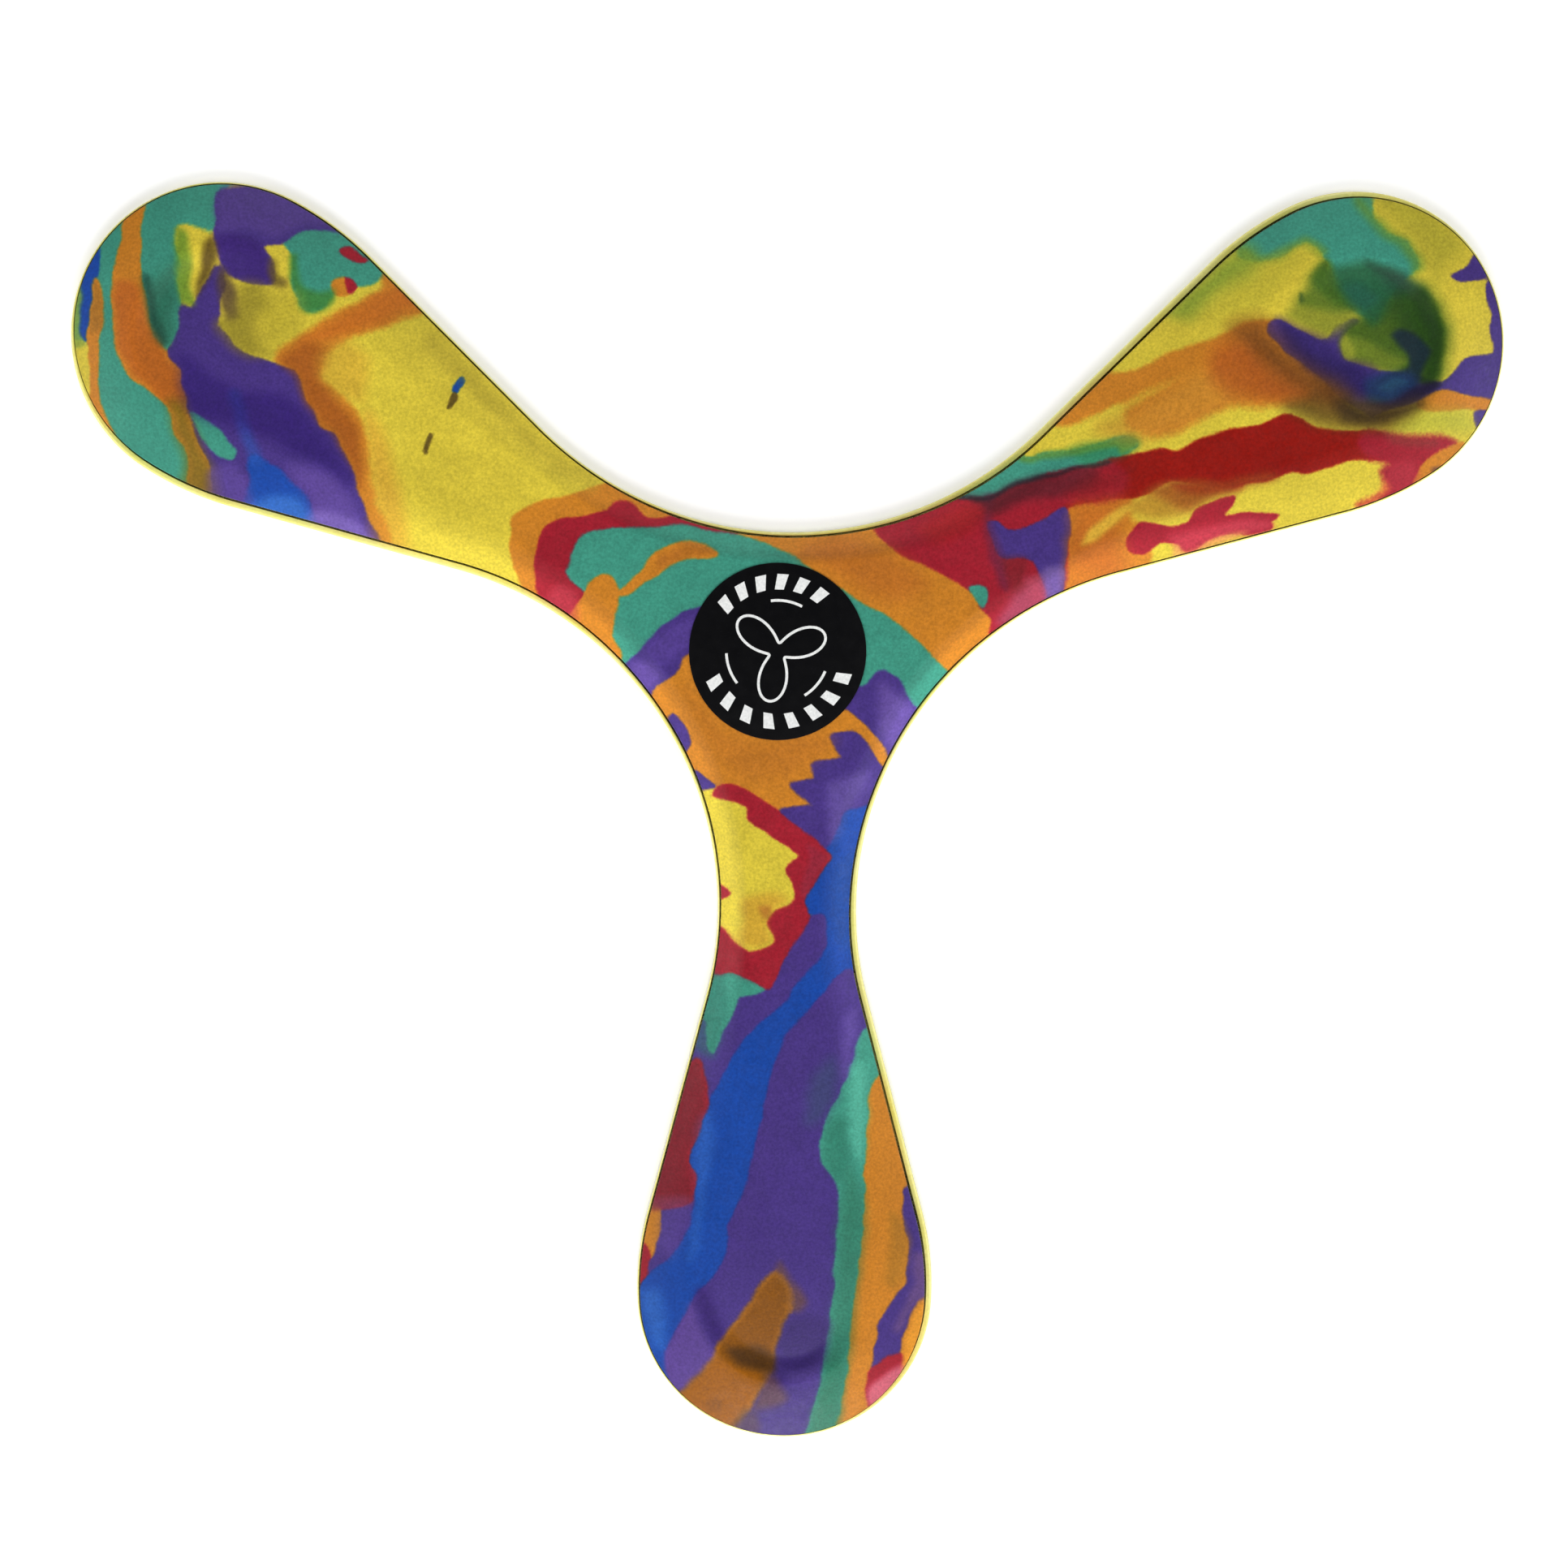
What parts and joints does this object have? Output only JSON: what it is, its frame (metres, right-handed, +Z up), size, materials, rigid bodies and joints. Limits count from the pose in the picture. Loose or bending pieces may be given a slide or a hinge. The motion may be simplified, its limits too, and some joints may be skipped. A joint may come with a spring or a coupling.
{
  "type": "boomerang",
  "caption": "Flat three-winged throwing boomerang with a marbled upper skin, round thumb scoops near the wing tips, a thin backing plate and a round hub label.",
  "frame": {"origin": "the wings' point of three-fold symmetry, on the flat underside", "axes": "+Z up through the hub, out of the marbled side; one wing points along -Y and the other two at 30 and 150 degrees from +X"},
  "size_m": [0.2674, 0.2392, 0.0057],
  "materials": {
    "backing": "glossy yellow moulded plastic",
    "marbled_skin": "satin plastic marbled in yellow, orange, red, teal, blue and purple, with a fine grain",
    "label": null
  },
  "bodies": {
    "root": {"base_layer": "backing", "top_skin": "marbled_skin", "hub_label": "label"}
  },
  "joints": []
}
